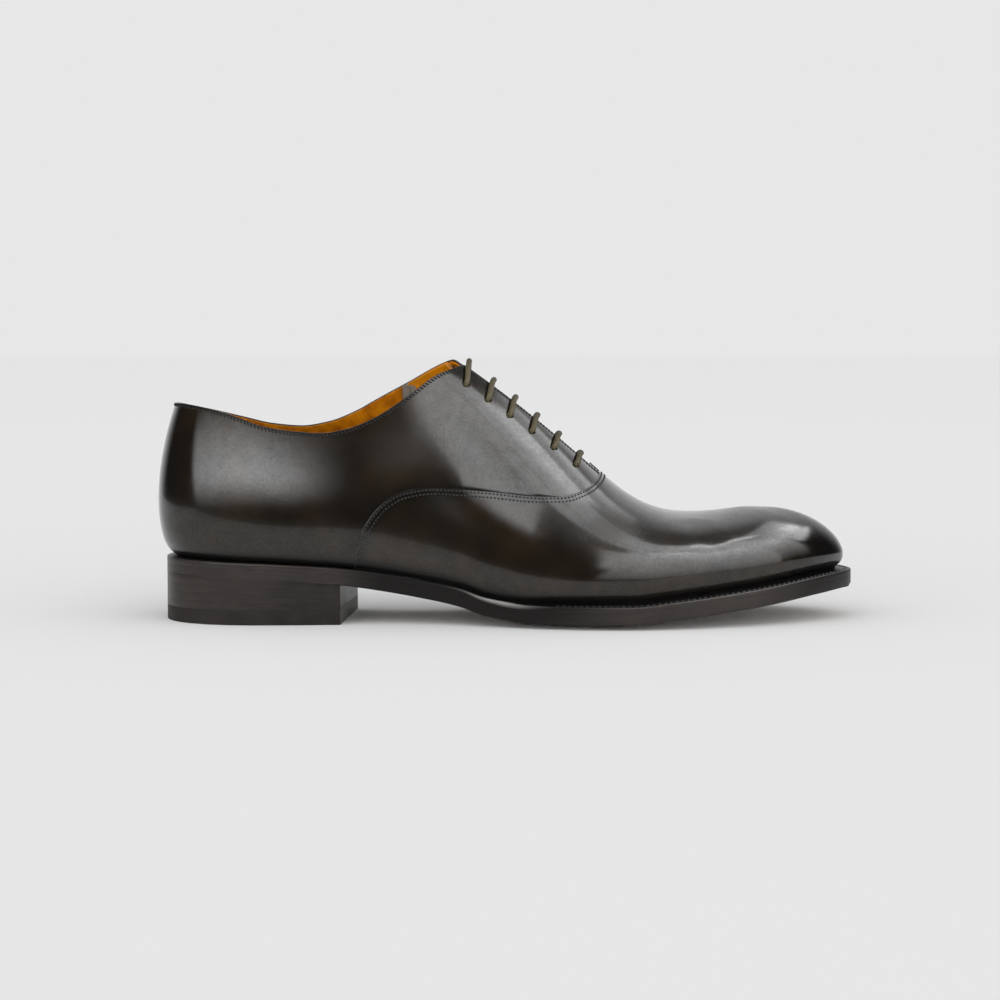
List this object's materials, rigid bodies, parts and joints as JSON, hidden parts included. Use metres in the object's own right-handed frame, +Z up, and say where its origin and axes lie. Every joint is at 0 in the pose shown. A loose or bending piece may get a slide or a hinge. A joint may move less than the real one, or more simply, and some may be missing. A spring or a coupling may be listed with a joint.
{
  "type": "plain-toe oxford shoe",
  "caption": "Right plain-toe oxford dress shoe with closed lacing, a vamp lapped over the quarters, a welted leather sole and a stacked heel.",
  "frame": {"origin": "on the floor, under the middle of the shoe's box", "axes": "+X from the heel to the toe, -Y to the outer side of the foot, +Z up from the floor"},
  "size_m": [0.3106, 0.1042, 0.1157],
  "materials": {
    "upper_leather": "polished dark brown calf",
    "lining_leather": "matt orange-tan lining leather",
    "sole_edge": "waxed dark brown sole leather",
    "heel_rubber": "matt dark rubber",
    "lace_cord": "woven waxed cotton cord"
  },
  "bodies": {
    "root": {"upper": "upper_leather", "tongue": "lining_leather", "insole": "lining_leather", "welt": "sole_edge", "outsole": "sole_edge", "heel_stack": "sole_edge", "heel_top_piece": "heel_rubber", "lace_bar_1": "lace_cord", "lace_bar_2": "lace_cord", "lace_bar_3": "lace_cord", "lace_bar_4": "lace_cord", "lace_bar_5": "lace_cord", "lace_bar_6": "lace_cord"}
  },
  "joints": []
}
